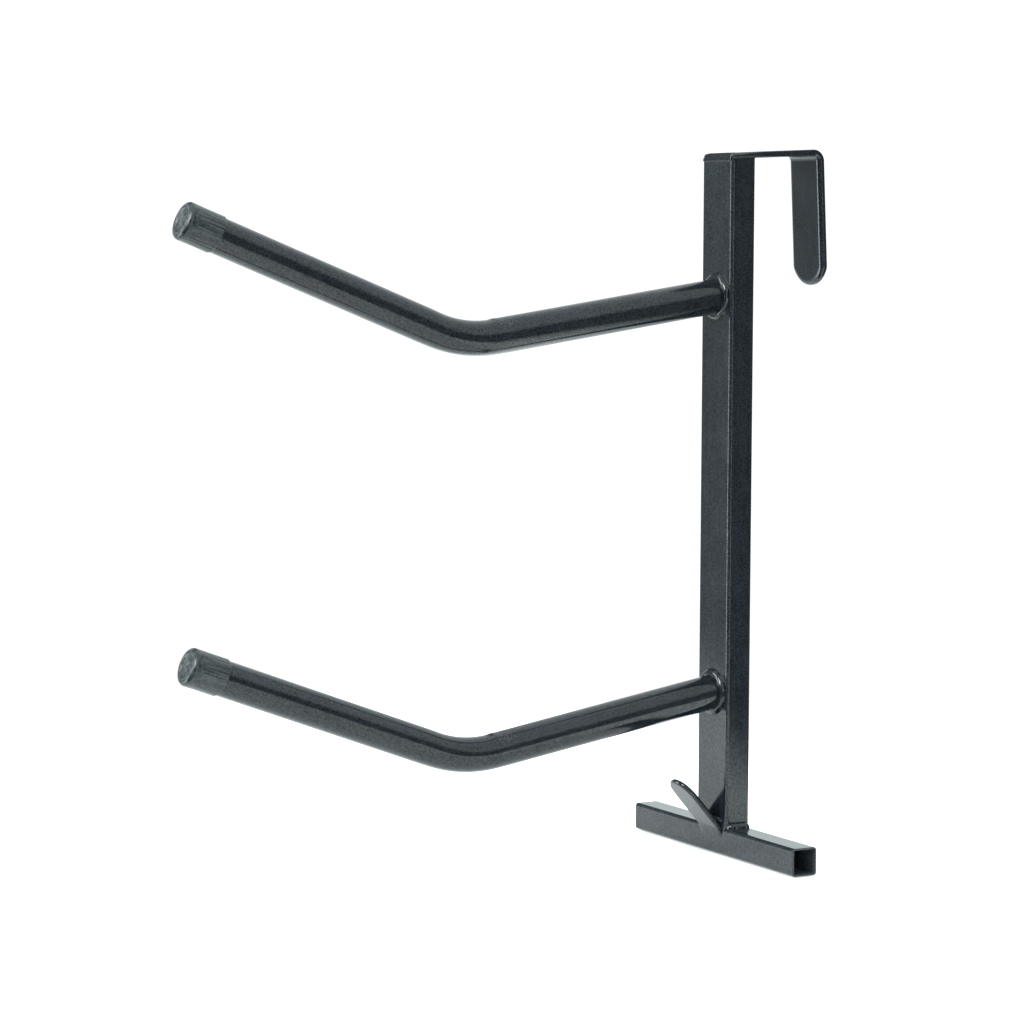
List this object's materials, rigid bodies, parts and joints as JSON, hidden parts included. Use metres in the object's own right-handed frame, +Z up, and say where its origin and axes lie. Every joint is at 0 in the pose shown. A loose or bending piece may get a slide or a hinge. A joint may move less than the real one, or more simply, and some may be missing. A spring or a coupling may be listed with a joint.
{
  "type": "over-door storage rack",
  "caption": "Over-door storage rack: a flat hook carries a tubular upright with cranked, capped tube arms, a short flat strap peg and a square cross bar at the foot.",
  "frame": {"origin": "middle of the seat under the hook, where the rack rests on the top edge of the door, midway between the back of the upright and the leg", "axes": "+Z up, +Y from the arms towards the door and the hook's leg, so the arms reach out along -Y, and +X across the rack along the foot bar"},
  "size_m": [0.274, 0.635, 0.6456],
  "materials": {
    "frame_coat": "semi-gloss charcoal powder coat with a fine texture",
    "weld_coat": "the same powder coat, glossier over rippled weld beads",
    "cap_vinyl": "matte moulded vinyl with fine lengthwise marks"
  },
  "bodies": {
    "root": {"upright": "frame_coat", "door_hook": "frame_coat", "upper_arm": "frame_coat", "lower_arm": "frame_coat", "upper_end_cap": "cap_vinyl", "lower_end_cap": "cap_vinyl", "foot_bar": "frame_coat", "tack_peg": "frame_coat", "upper_arm_weld": "weld_coat", "lower_arm_weld": "weld_coat", "hook_weld_front": "weld_coat", "hook_weld_left": "weld_coat", "hook_weld_right": "weld_coat", "foot_weld_front": "weld_coat", "foot_weld_back": "weld_coat", "foot_weld_left": "weld_coat", "foot_weld_right": "weld_coat", "peg_weld_top": "weld_coat", "peg_weld_under": "weld_coat"}
  },
  "joints": []
}
